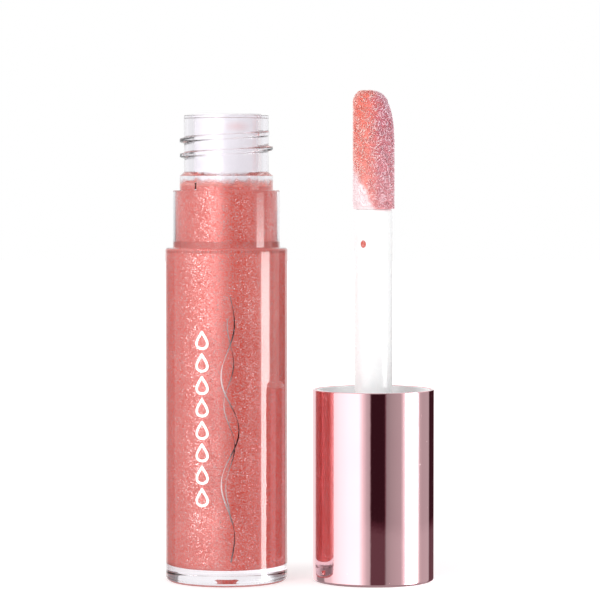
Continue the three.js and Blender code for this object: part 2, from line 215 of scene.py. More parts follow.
def rounded(corners, closed=False, steps=5):
    """An outline of (radius, height, rounding), with an arc at each corner and a point on each side of it."""
    points = []
    count = len(corners)
    for i, (radius, height, rounding) in enumerate(corners):
        here = Vector((radius, height))
        at_end = not closed and i in (0, count - 1)
        if at_end or rounding == 0:
            points.append(here)
            continue
        back = Vector(corners[i - 1][:2]) - here
        ahead = Vector(corners[(i + 1) % count][:2]) - here
        half = back.angle(ahead) / 2
        reach = rounding / math.tan(half)
        back_way, ahead_way = back.normalized(), ahead.normalized()
        centre = here + (back_way + ahead_way).normalized() * (rounding / math.sin(half))
        first = here + back_way * reach - centre
        last = here + ahead_way * reach - centre
        turn = first.angle_signed(last)
        spare_back = min(rounding / 2, (back.length / 2 - reach) * 0.9)
        spare_ahead = min(rounding / 2, (ahead.length / 2 - reach) * 0.9)
        if spare_back > 0:
            points.append(centre + first + back_way * spare_back)
        for step in range(steps + 1):
            angle = -turn * step / steps
            cos, sin = math.cos(angle), math.sin(angle)
            points.append(centre + Vector((first.x * cos - first.y * sin, first.x * sin + first.y * cos)))
        if spare_ahead > 0:
            points.append(centre + last + ahead_way * spare_ahead)
    return [(max(p.x, 0.0), p.y) for p in points]


def refined(outline, low, high, step, least_radius=0.0):
    """The outline with its upright stretches between two heights cut into short steps."""
    points = [outline[0]]
    for (r0, z0), (r1, z1) in zip(outline, outline[1:]):
        inside = min(z0, z1) > low and max(z0, z1) < high and min(r0, r1) > least_radius
        cuts = max(1, math.ceil(abs(z1 - z0) / step)) if inside else 1
        points += [(r0 + (r1 - r0) * k / cuts, z0 + (z1 - z0) * k / cuts) for k in range(1, cuts + 1)]
    return points


def band(under, over, columns):
    """The faces between two rings of points, from the number of each ring's first point."""
    pairs = [(i, (i + 1) % columns) for i in range(columns)]
    return [(under + i, under + j, over + j, over + i) for i, j in pairs]


def spokes(hub, ring, columns):
    """The faces between a ring of points and the point at its middle."""
    return [(hub, ring + i, ring + (i + 1) % columns) for i in range(columns)]


def lathe(name, outline, axis_x, columns, closed=False, swell=None):
    """A piece turned about an upright axis. swell gives new radii from the radii, heights and angles."""
    rows = np.array([p for p in outline if p[0] > 0 or closed])
    angles = np.arange(columns) * math.tau / columns
    radius, height = np.repeat(rows[:, :1], columns, axis=1), np.repeat(rows[:, 1:], columns, axis=1)
    if swell:
        radius = swell(radius, height, np.degrees(angles)[None, :].repeat(len(rows), 0))
    places = np.stack(
        [axis_x + radius * np.cos(angles), radius * np.sin(angles), height], axis=-1
    ).reshape(-1, 3).tolist()
    faces = []
    last = len(rows) if closed else len(rows) - 1
    for row in range(last):
        faces += band(row * columns, (row + 1) % len(rows) * columns, columns)
    if not closed:
        for end, row in ((outline[0], 0), (outline[-1], len(rows) - 1)):
            if end[0] == 0:
                places.append((axis_x, 0.0, end[1]))
                faces += spokes(len(places) - 1, row * columns, columns)
    return new_piece(name, places, faces)


def eased(value):
    """0 to 1, held at both ends, with a gentle start and stop."""
    value = np.clip(value, 0, 1)
    return value * value * (3 - 2 * value)


def ridge(height, degrees, start, turn, start_height, crest, root, fade):
    """0 to 1: how far up a helical ridge a point is."""
    best = np.zeros_like(height)
    for lap in range(-3, 4):
        along = degrees + 360 * lap - start
        centre = start_height + THREAD_PITCH * along / 360
        across = eased((root / 2 - np.abs(height - centre)) / ((root - crest) / 2))
        ends = eased(np.minimum(along, turn - along) / fade)
        best = np.maximum(best, across * ends)
    return best


def painted(mesh, name, values):
    """Gives each vertex a value that a material can read."""
    mesh.attributes.new(name, "FLOAT", "POINT").data.foreach_set("value", values)


def ridden(piece, body, look, *nodes, slot=None):
    """Gives a piece its material, the body that it rides on, and the CAD nodes that it stands for."""
    piece.data.materials.append(look)
    if nodes:
        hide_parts(*nodes)
    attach(piece, body)


# ---------------- material helpers


def node(look, kind, settings=None, **sockets):
    """Adds a node. Sockets take a value or another node's output: i0 is the first, and others go by name."""
    made = look.node_tree.nodes.new("ShaderNode" + kind)
    for key, value in (settings or {}).items():
        setattr(made, key, value)
    for key, value in sockets.items():
        name = key.replace("_", " ")
        socket = made.inputs[int(key[1:])] if key[1:].isdigit() else made.inputs[name]
        if isinstance(value, bpy.types.NodeSocket):
            look.node_tree.links.new(value, socket)
        else:
            socket.default_value = value
    return made


def spot(look):
    """The place that is being shaded, in the model's frame at rest."""
    return node(look, "TexCoord").outputs["Object"]


def paint(look, name):
    """The value that the vertices were given under this name."""
    return node(look, "Attribute", {"attribute_name": name}).outputs["Fac"]


def maths(look, operation, *values, kind="Math"):
    sockets = {f"i{k}": value for k, value in enumerate(values)}
    return node(look, kind, {"operation": operation}, **sockets).outputs[0]


def vectors(look, operation, *values):
    return maths(look, operation, *values, kind="VectorMath")


def length_of(look, place):
    """How far a place is from the origin."""
    return node(look, "VectorMath", {"operation": "LENGTH"}, i0=place).outputs["Value"]


def ranged(look, value, low, high, to_low, to_high):
    """A value stretched from one range to another and held inside it."""
    ends = {"From_Min": low, "From_Max": high, "To_Min": to_low, "To_Max": to_high}
    return node(look, "MapRange", {"clamp": True}, Value=value, **ends).outputs[0]


def noise(look, size, detail=3.0, where=None, **sockets):
    """Noise whose features are about this size in metres."""
    where = where or spot(look)
    return node(look, "TexNoise", Vector=where, Scale=1 / size, Detail=detail, **sockets).outputs["Fac"]


def blended(look, factor, colour_a, colour_b):
    made = node(look, "Mix", {"data_type": "RGBA"})
    links = look.node_tree.links
    for socket, value in ((made.inputs[0], factor), (made.inputs[6], colour_a), (made.inputs[7], colour_b)):
        if isinstance(value, bpy.types.NodeSocket):
            links.new(value, socket)
        else:
            socket.default_value = value
    return made.outputs[2]


def bumped(look, height, distance, strength):
    return node(look, "Bump", Height=height, Distance=distance, Strength=strength).outputs["Normal"]


def new_look(name, **sockets):
    """A material with one Principled shader, and that shader."""
    look = bpy.data.materials.new(name)
    look.use_nodes = True
    shader = look.node_tree.nodes["Principled BSDF"]
    for key, value in sockets.items():
        shader.inputs[key.replace("_", " ")].default_value = value
    return look, shader


def wire(look, shader, **sockets):
    """Links outputs of nodes to a shader's sockets."""
    for key, value in sockets.items():
        look.node_tree.links.new(value, shader.inputs[key.replace("_", " ")])


def rgb(red, green, blue):
    return (red, green, blue, 1.0)


# ---------------- materials


def clear_petg():
    """Clear plastic with a faint ripple and painted shade along its thread's roots. Lamps light what is
    inside it.
    """
    look, shader = new_look("clear_petg", IOR=1.57, Transmission_Weight=1.0)
    smudge = noise(look, 2.5 * MM, 4.0)
    patches = ranged(look, noise(look, 1.1 * MM, 3.0), 0.35, 0.6, 0.35, 1.0)
    # Painted shade: the glass is tinted dark pink, in patches, along the thread's roots.
    patchy_thread_shade = maths(look, "MULTIPLY", paint(look, "thread_shade"), patches)
    colour = blended(look, smudge, rgb(0.90, 0.875, 0.925), rgb(0.93, 0.915, 0.95))
    ripple = noise(look, 1.6 * MM, 2.0)
    wire(
        look, shader,
        Base_Color=blended(look, patchy_thread_shade, colour, rgb(0.66, 0.50, 0.53)),
        Roughness=ranged(look, smudge, 0.45, 0.75, 0.0, 0.03),
        Normal=bumped(look, ripple, 0.004 * MM, 0.5),
    )
    rays = node(look, "LightPath")
    passing = maths(look, "MAXIMUM", rays.outputs["Is Shadow Ray"], rays.outputs["Is Diffuse Ray"])
    grazing = node(look, "LayerWeight", Blend=0.5).outputs["Facing"]
    edge = ranged(look, grazing, 0.55, 1.0, 0.0, 1.0)
    shade = blended(look, edge, rgb(0.96, 0.95, 0.96), rgb(0.30, 0.28, 0.31))
    through = node(look, "BsdfTransparent", Color=shade)
    mix = node(look, "MixShader")
    links = look.node_tree.links
    links.new(passing, mix.inputs[0])
    links.new(shader.outputs[0], mix.inputs[1])
    links.new(through.outputs[0], mix.inputs[2])
    links.new(mix.outputs[0], look.node_tree.nodes["Material Output"].inputs["Surface"])
    return look


FLAKE_SIZE = 0.105 * MM  # one cell of pearl


def gloss_fill():
    """Coral gloss full of pearl: each tiny cell is a flake at its own tilt, or the coral between flakes."""
    look, shader = new_look("gloss_fill", IOR=1.45, Specular_IOR_Level=0.3)
    where = spot(look)
    cells = node(look, "TexVoronoi", Vector=where, Scale=1 / FLAKE_SIZE, Randomness=1.0)
    drift = noise(look, 5.0 * MM, 3.0, where, Distortion=0.8)
    split = node(look, "SeparateColor", Color=cells.outputs["Color"])
    # Most cells are a haze of fine pearl, and about one in ten is a large flake that glints.
    haze = ranged(look, split.outputs["Red"], 0.1, 0.85, 0.01, 0.27)
    glint = ranged(look, split.outputs["Red"], 0.87, 0.95, 0.0, 0.42)
    flake = maths(look, "ADD", haze, glint)
    flake = maths(look, "MULTIPLY", flake, ranged(look, drift, 0.3, 0.7, 0.8, 1.15))
    coral = blended(look, drift, rgb(0.54, 0.048, 0.031), rgb(0.68, 0.086, 0.056))
    pearl = blended(look, split.outputs["Green"], rgb(0.98, 0.64, 0.60), rgb(1.0, 0.84, 0.82))
    spread = ranged(look, split.outputs["Red"], 0.85, 0.93, 0.26, 0.48)
    middle = (0.5, 0.5, 0.5)
    tilt = vectors(look, "SUBTRACT", cells.outputs["Color"], middle)
    leaning = node(look, "VectorMath", {"operation": "SCALE"}, i0=tilt, Scale=spread).outputs[0]
    facing = node(look, "NewGeometry").outputs["Normal"]
    wire(
        look, shader,
        Base_Color=blended(look, flake, coral, pearl),
        Metallic=flake,
        Roughness=ranged(look, split.outputs["Blue"], 0.0, 1.0, 0.15, 0.25),
        Normal=vectors(look, "NORMALIZE", vectors(look, "ADD", facing, leaning)),
    )
    return look


def smeared_gloss():
    """Gloss wiped thin on the wall, fading upwards in streaks."""
    look, shader = new_look("smeared_gloss", Roughness=0.3, Metallic=0.15)
    where = spot(look)
    height = maths(look, "SUBTRACT", node(look, "SeparateXYZ", Vector=where).outputs["Z"], top_of("gloss"))
    streaks = noise(look, 1.1 * MM, 6.0, where)
    uneven = maths(look, "MULTIPLY", maths(look, "SUBTRACT", 0.5, streaks), 1.8 * MM)
    ragged = maths(look, "ADD", height, uneven)
    cells = node(look, "TexVoronoi", Vector=where, Scale=1 / (0.1 * MM))
    wire(
        look, shader,
        Base_Color=blended(look, cells.outputs["Distance"], rgb(0.80, 0.16, 0.12), rgb(0.95, 0.42, 0.36)),
        Alpha=ranged(look, ragged, -0.5 * MM, 0.7 * MM, 1.0, 0.0),
        Normal=bumped(look, streaks, 0.05 * MM, 0.4),
    )
    return look


def rose_metal():
    """Rose-coloured mirror metal: a faint orange-peel, fine hairlines along it, and specks of dust."""
    look, shader = new_look("rose_metal", Metallic=1.0)
    where = spot(look)
    drawn = node(look, "Mapping", Vector=where, Scale=(1.0, 1.0, 0.03))
    hair = noise(look, 0.12 * MM, 2.0, drawn.outputs[0])
    peel = noise(look, 1.4 * MM, 2.0, where)
    specks = node(look, "TexVoronoi", Vector=where, Scale=1 / (2.2 * MM))
    dust = ranged(look, specks.outputs["Distance"], 0.02, 0.05, 1.0, 0.0)
    tint = noise(look, 7 * MM, 2.0, where)
    tone = blended(look, tint, rgb(0.90, 0.535, 0.585), rgb(0.93, 0.585, 0.615))
    brushed = ranged(look, hair, 0.35, 0.75, 0.025, 0.085)
    rough = maths(look, "ADD", brushed, maths(look, "MULTIPLY", dust, 0.3))
    uneven = maths(look, "ADD", peel, maths(look, "MULTIPLY", hair, 0.06))
    wire(
        look, shader,
        Base_Color=blended(look, maths(look, "MULTIPLY", dust, 0.5), tone, rgb(0.93, 0.86, 0.86)),
        Roughness=rough,
        Normal=bumped(look, uneven, 0.012 * MM, 0.35),
    )
    return look


def white_plastic(name, tint, gloss):
    """White moulded plastic: slight waviness, faint mottling, uneven gloss, and a faint glow of painted light
    that lifts it where little light reaches.
    """
    look, shader = new_look(
        name, IOR=1.49, Subsurface_Weight=0.08, Subsurface_Scale=0.5 * MM, Subsurface_Radius=(1.0, 0.8, 0.7),
        # Painted light: the plastic glows faintly, though it is no lamp.
        Emission_Color=rgb(1, 1, 1), Emission_Strength=0.09,
    )
    mottling = noise(look, 1.8 * MM, 4.0)
    wave = noise(look, 0.9 * MM, 2.0)
    shade = tuple(c * 0.94 for c in tint[:3]) + (1.0,)
    wire(
        look, shader,
        Base_Color=blended(look, ranged(look, mottling, 0.35, 0.7, 0.0, 1.0), tint, shade),
        Roughness=ranged(look, mottling, 0.3, 0.7, gloss, gloss + 0.14),
        Normal=bumped(look, wave, 0.01 * MM, 0.4),
    )
    return look


def frosted_ldpe():
    """Milky soft plastic that lets some light through, with a faint glow of painted light that stands in for
    light scattered inside it.
    """
    look, shader = new_look(
        "frosted_ldpe", IOR=1.5, Transmission_Weight=0.22,
        # Painted light: the plastic glows faintly, though it is no lamp.
        Emission_Color=rgb(1.0, 0.99, 1.0), Emission_Strength=0.06,
    )
    cloud = noise(look, 1.2 * MM, 4.0)
    grain = noise(look, 0.08 * MM, 2.0)
    # A trace of gloss wiped off near the rim, on the front.
    where = spot(look)
    away = vectors(look, "SUBTRACT", where, TRACE_PLACE)
    reach = length_of(look, vectors(look, "DIVIDE", away, TRACE_SIZE))
    ragged = maths(look, "ADD", reach, maths(look, "MULTIPLY", cloud, 0.5))
    trace = ranged(look, ragged, 0.4, 1.3, 0.45, 0.0)
    pale = blended(look, cloud, rgb(0.94, 0.935, 0.95), rgb(0.98, 0.978, 0.985))
    wire(
        look, shader,
        Base_Color=blended(look, trace, pale, rgb(0.86, 0.48, 0.46)),
        Roughness=ranged(look, cloud, 0.3, 0.7, 0.38, 0.55),
        Normal=bumped(look, grain, 0.01 * MM, 0.4),
    )
    return look


def liner_foam():
    """Fine-celled foam sheet."""
    look, shader = new_look("liner_foam", Specular_IOR_Level=0.25)
    where = spot(look)
    cells = node(look, "TexVoronoi", Vector=where, Scale=1 / (0.12 * MM)).outputs["Distance"]
    wire(
        look, shader,
        Base_Color=blended(look, cells, rgb(0.80, 0.79, 0.78), rgb(0.90, 0.895, 0.885)),
        Roughness=ranged(look, cells, 0.0, 0.6, 0.85, 0.6),
        Normal=bumped(look, cells, 0.05 * MM, 0.7),
    )
    return look


# How steeply the edge of the flocking's dry part climbs towards the left.
DRY_CLIMB = 2.1


def flock_fibre():
    """Flocking soaked with gloss: coral on its left, lilac pink on its right, nearly white where dry, with
    painted shade at the fibres' roots and painted light at their ends.
    """
    look, shader = new_look("flock_fibre", Specular_IOR_Level=0.6)
    where = spot(look)
    place = node(look, "SeparateXYZ", Vector=where)
    across = maths(look, "SUBTRACT", place.outputs["X"], CAP_X)
    along = maths(look, "SUBTRACT", place.outputs["Z"], FLOCK_FOOT)
    clump = noise(look, 0.9 * MM, 3.0, where)
    strand = noise(look, 0.22 * MM, 2.0, where)
    wobble = maths(look, "MULTIPLY", maths(look, "SUBTRACT", clump, 0.5), 3.0 * MM)
    rightwards = ranged(look, maths(look, "ADD", across, wobble), -1.2 * MM, 1.2 * MM, 0.0, 1.0)
    # Painted shade and light: the skin and the fibres' roots take the shaded colour, and the fibres' ends
    # take the lit colour.
    shaded_colour = blended(look, rightwards, rgb(0.78, 0.185, 0.14), rgb(0.58, 0.155, 0.20))
    lit_colour = blended(look, rightwards, rgb(1.0, 0.76, 0.71), rgb(1.0, 0.80, 0.88))
    lit_share = maths(look, "MULTIPLY", paint(look, "tone"), ranged(look, strand, 0.3, 0.65, 0.7, 1.15))
    wet = blended(look, lit_share, shaded_colour, lit_colour)
    # The gloss thins towards the tip's foot.
    thinness = ranged(look, along, 1.0 * MM, 13.0 * MM, 0.28, 0.0)
    thinned = blended(look, thinness, wet, rgb(1.0, 0.62, 0.62))
    # The dry part: below a line that climbs towards the left.
    slope = maths(look, "ADD", along, maths(look, "MULTIPLY", across, DRY_CLIMB))
    dry = ranged(look, maths(look, "ADD", slope, wobble), -0.9 * MM, 0.9 * MM, 1.0, 0.0)
    wire(
        look, shader,
        Base_Color=blended(look, dry, thinned, rgb(0.97, 0.84, 0.86)),
        Roughness=ranged(look, clump, 0.35, 0.65, 0.3, 0.6),
        Normal=bumped(look, strand, 0.06 * MM, 0.4),
    )
    return look


def foil(name, colour_a, colour_b):
    """Hot-stamped mirror foil."""
    look, shader = new_look(name, Metallic=1.0)
    wear = noise(look, 0.5 * MM, 3.0)
    wire(
        look, shader,
        Base_Color=blended(look, wear, colour_a, colour_b),
        Roughness=ranged(look, wear, 0.3, 0.7, 0.12, 0.28),
        Normal=bumped(look, noise(look, 0.15 * MM, 2.0), 0.004 * MM, 0.3),
    )
    return look


# ---------------- the bottle


def lug_rise(height, degrees):
    """0 to 1 on the two stop lugs: steep at their far end, ramped at their near end."""
    best = np.zeros_like(height)
    for stop in (LUG_STOP, LUG_STOP - 180):
        along = (degrees - stop + LUG_ANGLE + 180) % 360 - 180
        share = along / LUG_ANGLE
        top = COLLAR_FOOT + LUG_HEIGHT - LUG_RAMP_DROP * np.clip(1 - share / LUG_RAMP, 0, 1)
        inside = eased(share / 0.05) * eased((1 - share) / 0.05)
        best = np.maximum(best, inside * eased((top - height) / (0.12 * MM)))
    return best


def neck_thread(height, degrees, crest, root, fade):
    """0 to 1 on a ridge that follows the bottle's thread."""
    return ridge(height, degrees, THREAD_START, THREAD_TURN, NECK_FOOT + THREAD_RISE, crest, root, fade)


def bottle_swell(radius, height, degrees):
    """Raises the thread on the neck and the lugs on the collar. The bore and the rest stay as they are."""
    outside = (radius > NECK_RADIUS - 0.01 * MM) & (height > NECK_FOOT + 0.05 * MM)
    thread = neck_thread(height, degrees, THREAD_CREST, THREAD_ROOT, THREAD_FADE)
    radius = radius + np.where(outside, thread * THREAD_DEPTH, 0)
    on_collar = (height > COLLAR_FOOT + 0.01 * MM) & (height < COLLAR_TOP)
    on_collar &= radius > COLLAR_RADIUS - 0.001 * MM
    return radius + np.where(on_collar, lug_rise(height, degrees) * LUG_DEPTH, 0)


def paint_thread_shade(piece):
    """Marks where shade is painted on the neck, along the thread's roots."""
    spots = np.array([v.co for v in piece.data.vertices])
    turn = np.degrees(np.arctan2(spots[:, 1], spots[:, 0])) % 360
    thread_shade = np.zeros(len(spots))
    for offset, amount in THREAD_SHADE_LINES:
        line = neck_thread(spots[:, 2] - offset, turn, THREAD_SHADE_CREST, THREAD_SHADE_ROOT, THREAD_SHADE_FADE)
        thread_shade = np.maximum(thread_shade, line * amount)
    outside = np.hypot(spots[:, 0], spots[:, 1]) > NECK_RADIUS - 0.01 * MM
    thread_shade *= outside & (spots[:, 2] > NECK_FOOT + 0.1 * MM)
    painted(piece.data, "thread_shade", thread_shade)


def clear_bottle(look):
    outline = rounded([
        (0, FOOT_RECESS + GATE_DEPTH, 0),
        (GATE_RADIUS - 0.35 * MM, FOOT_RECESS + GATE_DEPTH, 0.12 * MM),
        (GATE_RADIUS, FOOT_RECESS, 0.12 * MM),
        (FOOT_RING_RADIUS - 0.5 * MM, FOOT_RECESS, 0.25 * MM),
        (FOOT_RING_RADIUS, 0, 0.12 * MM),
        (BODY_RADIUS, 0, 0.62 * MM),
        (BODY_RADIUS, SHOULDER, 0.35 * MM),
        (SPIGOT_RADIUS, SHOULDER, 0.12 * MM),
        (SPIGOT_RADIUS, COLLAR_FOOT, 0.22 * MM),
        (COLLAR_RADIUS, COLLAR_FOOT, 0.06 * MM),
        (COLLAR_RADIUS, COLLAR_TOP, 0.08 * MM),
        (NECK_RADIUS, NECK_FOOT, 0.08 * MM),
        (NECK_RADIUS, NECK_TOP, 0.15 * MM),
        (SEAT_RADIUS, NECK_TOP, 0.06 * MM),
        (SEAT_RADIUS, NECK_TOP - SEAT_DEPTH, 0.03 * MM),
        (BORE_RADIUS, NECK_TOP - SEAT_DEPTH, 0.06 * MM),
        (BORE_RADIUS, CONE_TOP, 0.3 * MM),
        (CAVITY_RADIUS, CONE_FOOT, 0.5 * MM),
        (CAVITY_RADIUS, CAVITY_FLOOR, CAVITY_CORNER),
        (0, CAVITY_FLOOR, 0),
    ])
    # Fine rows where the thread and the lugs rise.
    fine = 0.075 * MM
    outline = refined(outline, NECK_FOOT + 0.06 * MM, NECK_TOP - 0.14 * MM, fine, NECK_RADIUS - 0.01 * MM)
    lug_top = COLLAR_FOOT + LUG_HEIGHT + 0.8 * MM
    outline = refined(outline, COLLAR_FOOT, lug_top, fine, COLLAR_RADIUS - 0.01 * MM)
    piece = lathe("clear_bottle", outline, BOTTLE_X, 288, swell=bottle_swell)
    paint_thread_shade(piece)
    ridden(piece, "bottle", look, "bottle", slot="clear_petg")


def pearly_gloss(look):
    """The fill. It wets the bottle's wall, and stays a hair clear of the wiper's cone."""
    level = top_of("gloss") - EDGE_DROP
    wall = CAVITY_RADIUS + WETTING
    bore = BORE_RADIUS + WETTING
    wiper_foot = foot_of("wiper")
    cone = CONE_TIP_RADIUS + (CONE_ROOT_RADIUS - CONE_TIP_RADIUS) * (level - wiper_foot) / CONE_LENGTH
    outline = rounded([
        (0, CAVITY_FLOOR - WETTING, 0),
        (wall, CAVITY_FLOOR - WETTING, CAVITY_CORNER),
        (wall, CONE_FOOT, 0.5 * MM),
        (bore, CONE_TOP, 0.3 * MM),
        (bore, level, 0.015 * MM),
        (cone + 0.02 * MM, level - 0.06 * MM, 0.02 * MM),
        (CONE_TIP_RADIUS + 0.05 * MM, wiper_foot - 0.02 * MM, 0.1 * MM),
        (0, wiper_foot - 0.06 * MM, 0),
    ])
    piece = lathe("pearly_gloss", outline, BOTTLE_X, 224)
    ridden(piece, "bottle", look, "gloss", slot="gloss_fill")


def gloss_film(look):
    """The smear that the gloss leaves on the wall of the bore above its level."""
    foot, top = top_of("gloss") - EDGE_DROP - FILM_OVERLAP, top_of("gloss") + FILM_HEIGHT
    near, far = BORE_RADIUS - FILM_THICKNESS, BORE_RADIUS + WETTING
    outline = rounded([(near, foot, 0), (far, foot, 0), (far, top, 0), (near, top, 0)], closed=True)
    ridden(lathe("gloss_film", outline, BOTTLE_X, 128, closed=True), "bottle", look)


def frosted_wiper(look):
    foot, top = foot_of("wiper"), top_of("wiper")
    seat = top - FLANGE_DEPTH
    sleeve_foot = foot + CONE_LENGTH
    outline = rounded([
        (ORIFICE_RADIUS, foot, 0.08 * MM),
        (CONE_TIP_RADIUS, foot, 0.12 * MM),
        (CONE_ROOT_RADIUS, sleeve_foot, 0.6 * MM),
        (CONE_ROOT_RADIUS, seat, 0.04 * MM),
        (FLANGE_RADIUS, seat, 0.08 * MM),
        (FLANGE_RADIUS, top, 0.15 * MM),
        (MOUTH_RADIUS, top, 0.12 * MM),
        (SLEEVE_BORE, top - MOUTH_DEPTH, 0.12 * MM),
        (SLEEVE_BORE, sleeve_foot, 0.6 * MM),
        (ORIFICE_RADIUS, foot + LIP_LENGTH, 0.08 * MM),
    ], closed=True)
    piece = lathe("frosted_wiper", outline, BOTTLE_X, 192, closed=True)
    ridden(piece, "bottle", look, "wiper", slot="frosted_ldpe")


# ---------------- printed ornament


def on_wall(angle, height, rise):
    """A point on the bottle's wall, at an angle in degrees to the right of the front."""
    radius = BODY_RADIUS + rise
    turn = math.radians(angle)
    return (BOTTLE_X + radius * math.sin(turn), -radius * math.cos(turn), height)


def ribbon(path, closed=False):
    """A thin strip of foil along (angle, height, half width) points: its vertices and faces."""
    per_degree = math.radians(1) * BODY_RADIUS
    count = len(path)
    places, faces = [], []
    for i, (angle, height, half) in enumerate(path):
        before = path[i - 1] if i or closed else path[i]
        after = path[(i + 1) % count] if i < count - 1 or closed else path[i]
        run = Vector(((after[0] - before[0]) * per_degree, after[1] - before[1])).normalized()
        side = Vector((-run.y, run.x)) * half
        for sign in (1, -1):
            for rise in (FOIL_RISE, FOIL_RISE + FOIL_THICKNESS):
                places.append(on_wall(angle + sign * side.x / per_degree, height + sign * side.y, rise))
    for i in range(count if closed else count - 1):
        a, b = i * 4, (i + 1) % count * 4
        for j, k in ((0, 1), (1, 3), (3, 2), (2, 0)):
            faces.append((a + j, a + k, b + k, b + j))
    if not closed:
        faces += [(0, 2, 3, 1), tuple(4 * (count - 1) + j for j in (0, 1, 3, 2))]
    return places, faces


def gathered(name, parts):
    """One piece made of several lists of vertices and faces."""
    places, faces = [], []
    for part_places, part_faces in parts:
        faces += [tuple(i + len(places) for i in face) for face in part_faces]
        places += part_places
    return new_piece(name, places, faces, smooth=False)


def drop_outline(angle, height, size, half):
    """A closed teardrop, point upwards."""
    per_degree = math.radians(1) * BODY_RADIUS
    points, reach = 28, size * 0.62
    path = []
    for i in range(points):
        turn = math.tau * i / points
        across = math.sin(turn) * math.sin(turn / 2) ** 1.5 * reach
        path.append((angle + across / per_degree, height + math.cos(turn) * reach, half))
    return ribbon(path, closed=True)


DROP_COUNT = 8
DROP_ANGLE = -22.0  # degrees
DROP_LOW, DROP_HIGH = 12.4 * MM, 34.0 * MM
DROP_SIZE, DROP_LINE = 1.85 * MM, 0.18 * MM
LINE_ANGLE = 4.0  # degrees
LINE_WAVES = 15  # radians of swing from end to end
# The two strands of the line: phase, swing in degrees, lowest and highest point, and half width.
STRANDS = (
    (0.4, 11.0, 3.5 * MM, 40.0 * MM, 0.075 * MM),
    (2.3, 6.5, 9.0 * MM, 37.0 * MM, 0.055 * MM),
)


def strand(phase, reach, low, high, thin):
    """A foil line that swings most at its middle, and swells and thins as it goes."""
    path = []
    steps = 150
    for i in range(steps + 1):
        share = i / steps
        swing = math.sin(share * LINE_WAVES + phase) * reach * (0.35 + 0.65 * math.sin(math.pi * share))
        width = thin * (0.45 + 0.9 * abs(math.sin(share * LINE_WAVES + phase + 0.9)))
        path.append((LINE_ANGLE + swing * 0.8, low + (high - low) * share, width))
    return ribbon(path)


def ornament(look_light, look_dark):
    """A column of teardrops, and beside it a thin wandering line: nothing that reads as a letter."""
    drops = []
    for i in range(DROP_COUNT):
        height = DROP_LOW + (DROP_HIGH - DROP_LOW) * i / (DROP_COUNT - 1)
        drops.append(drop_outline(DROP_ANGLE, height, DROP_SIZE, DROP_LINE))
    ridden(gathered("drop_ornament", drops), "bottle", look_light)
    ridden(gathered("line_ornament", [strand(*sizes) for sizes in STRANDS]), "bottle", look_dark)


# ---------------- the cap


def rose_overcap(look):
    foot = foot_of("overcap")
    inside, floor_top = CAP_RADIUS - SHELL_WALL, foot + SHELL_FLOOR
    outline = rounded([
        (0, foot, 0),
        (CAP_RADIUS, foot, 0.38 * MM),
        (CAP_RADIUS, CAP_TOP, 0.13 * MM),
        (inside, CAP_TOP, 0.13 * MM),
        (inside, floor_top, 0.05 * MM),
        (0, floor_top, 0),
    ])
    ridden(lathe("rose_overcap", outline, CAP_X, 288), "cap", look, "overcap", slot="rose_metal")


def inner_cap_swell(radius, height, degrees):
    """Cuts the groove for the bottle's thread into the threaded bore."""
    start = 180 - (THREAD_START + THREAD_TURN)
    start_height = CLOSED_HEIGHT - (NECK_FOOT + THREAD_RISE + THREAD_PITCH * THREAD_TURN / 360)
    crest, root = THREAD_CREST + GROOVE_ROOM, THREAD_ROOT + GROOVE_ROOM
    groove = ridge(height, degrees, start, GROOVE_TURN, start_height, crest, root, THREAD_FADE)
    threaded = (np.abs(radius - THREAD_BORE) < 0.01 * MM) & (height < CLOSED_HEIGHT - NECK_FOOT - 1.05 * MM)
    return radius + np.where(threaded, groove * THREAD_DEPTH, 0)


def white_inner_cap(look):
    foot, rim = foot_of("inner_cap"), CAP_TOP - RIM_LIP
    web_top = foot_of("seal_washer") - 0.05 * MM
    web_foot = web_top - WEB_THICKNESS
    spigot_floor = CLOSED_HEIGHT - COLLAR_FOOT - 0.3 * MM
    lug_floor = spigot_floor - LUG_HEIGHT
    collar_floor = CLOSED_HEIGHT - NECK_FOOT - 1.0 * MM
    skirt = INNER_RADIUS - INNER_WALL
    outline = rounded([
        (0, foot, 0),
        (BOSS_RADIUS, foot, 0.1 * MM),
        (BOSS_RADIUS, web_foot, 0.1 * MM),
        (skirt, web_foot, 0.1 * MM),
        (skirt, foot, 0.1 * MM),
        (INNER_RADIUS, foot, 0.1 * MM),
        (INNER_RADIUS, rim, 0.1 * MM),
        (SPIGOT_BORE, rim, 0.14 * MM),
        (SPIGOT_BORE, spigot_floor, 0.06 * MM),
        (LUG_BORE, spigot_floor, 0.06 * MM),
        (LUG_BORE, lug_floor, 0.05 * MM),
        (COLLAR_BORE, lug_floor, 0.05 * MM),
        (COLLAR_BORE, collar_floor, 0.05 * MM),
        (THREAD_BORE, collar_floor, 0.05 * MM),
        (THREAD_BORE, web_top, 0.05 * MM),
        (SOCKET_RADIUS, web_top, 0.05 * MM),
        (SOCKET_RADIUS, foot + INNER_FLOOR, 0.03 * MM),
        (0, foot + INNER_FLOOR, 0),
    ])
    outline = refined(outline, web_top, collar_floor, 0.12 * MM, 6.0 * MM)
    piece = lathe("white_inner_cap", outline, CAP_X, 224, swell=inner_cap_swell)
    ridden(piece, "cap", look, "inner_cap", slot="white_pp")


def foam_washer(look):
    foot, top = foot_of("seal_washer"), top_of("seal_washer")
    outline = rounded([
        (WASHER_BORE, foot, 0.1 * MM),
        (WASHER_RADIUS, foot, 0.15 * MM),
        (WASHER_RADIUS, top, 0.15 * MM),
        (WASHER_BORE, top, 0.1 * MM),
    ], closed=True)
    piece = lathe("foam_washer", outline, CAP_X, 160, closed=True)
    ridden(piece, "washer", look, "seal_washer", slot="liner_foam")


